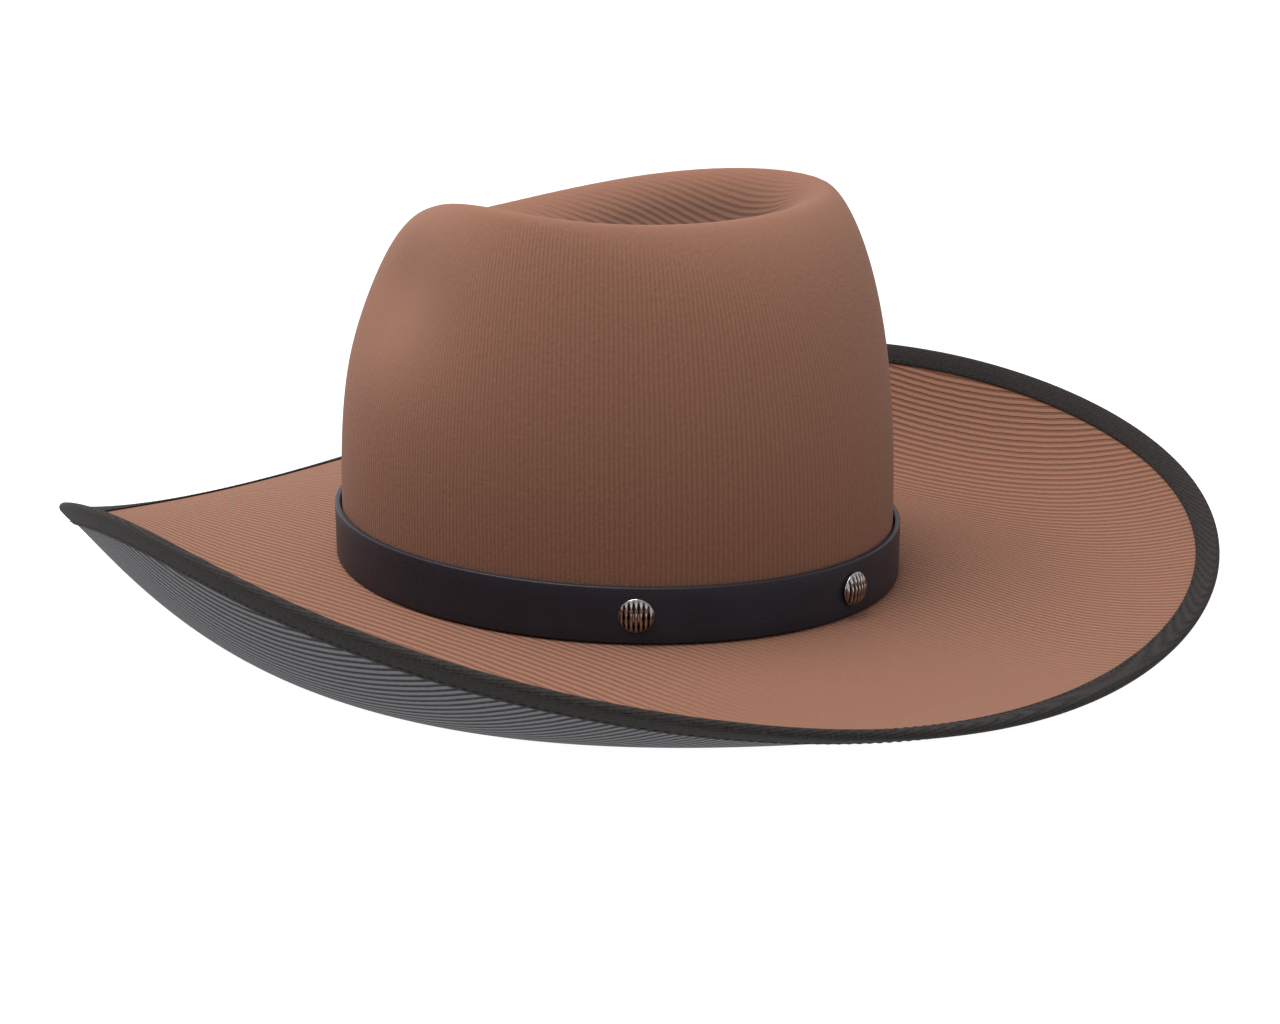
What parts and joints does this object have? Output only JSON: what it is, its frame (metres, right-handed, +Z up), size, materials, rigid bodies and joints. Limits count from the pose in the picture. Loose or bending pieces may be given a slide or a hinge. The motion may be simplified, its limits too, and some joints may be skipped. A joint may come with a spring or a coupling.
{
  "type": "cowboy hat",
  "caption": "Western hat with an oval creased crown, side dents, a wide side-curled brim with bound edge, and a studded leather band that lifts off.",
  "frame": {"origin": "middle of the head opening, at the level where the band's lower edge meets the brim", "axes": "+Z up through the crown, the wearer faces -Y, the wearer's left is +X"},
  "size_m": [0.3754, 0.4092, 0.1462],
  "materials": {
    "brown_ribbed_cloth": "fine ribbed weave, matt",
    "black_ribbed_cloth": "fine ribbed weave, matt",
    "black_binding_tape": "close woven tape, matt",
    "buckram": "open stiffened weave, matt",
    "lining_satin": "satin",
    "spring_steel": "drawn wire",
    "brass_ferrule": "drawn tube",
    "sweatband_leather": "smooth skived leather, satin",
    "reed_tape_cloth": "plain woven tape",
    "reed_plastic": "extruded",
    "bow_ribbon": "grosgrain ribbon",
    "band_leather": "smooth dyed leather, satin",
    "dark_chrome": "hammered, dark plated",
    "screw_steel": "turned",
    "washer_steel": "stamped"
  },
  "bodies": {
    "hat": {"crown_cloth": "brown_ribbed_cloth", "brim_top_cloth": "brown_ribbed_cloth", "brim_under_cloth": "black_ribbed_cloth", "edge_binding": "black_binding_tape", "crown_buckram": "buckram", "brim_core": "buckram", "lining_side": "lining_satin", "lining_tip": "lining_satin", "brim_wire": "spring_steel", "brim_wire_sleeve": "brass_ferrule", "sweatband": "sweatband_leather", "reed_tape": "reed_tape_cloth", "sweatband_reed": "reed_plastic", "sweatband_bow": "bow_ribbon"},
    "hat_band": {"band_strap": "band_leather", "stud_cap_left": "dark_chrome", "stud_cap_rear": "dark_chrome", "stud_cap_right": "dark_chrome", "stud_screw_left": "screw_steel", "stud_screw_rear": "screw_steel", "stud_screw_right": "screw_steel", "stud_washer_left": "washer_steel", "stud_washer_rear": "washer_steel", "stud_washer_right": "washer_steel", "band_rivet_front": "dark_chrome", "band_rivet_back": "dark_chrome"}
  },
  "joints": [
    {"name": "band_lift", "type": "slide", "parent": "hat", "child": "hat_band", "axis": [0, 0, 1], "range_m": [0, 0.15]}
  ]
}
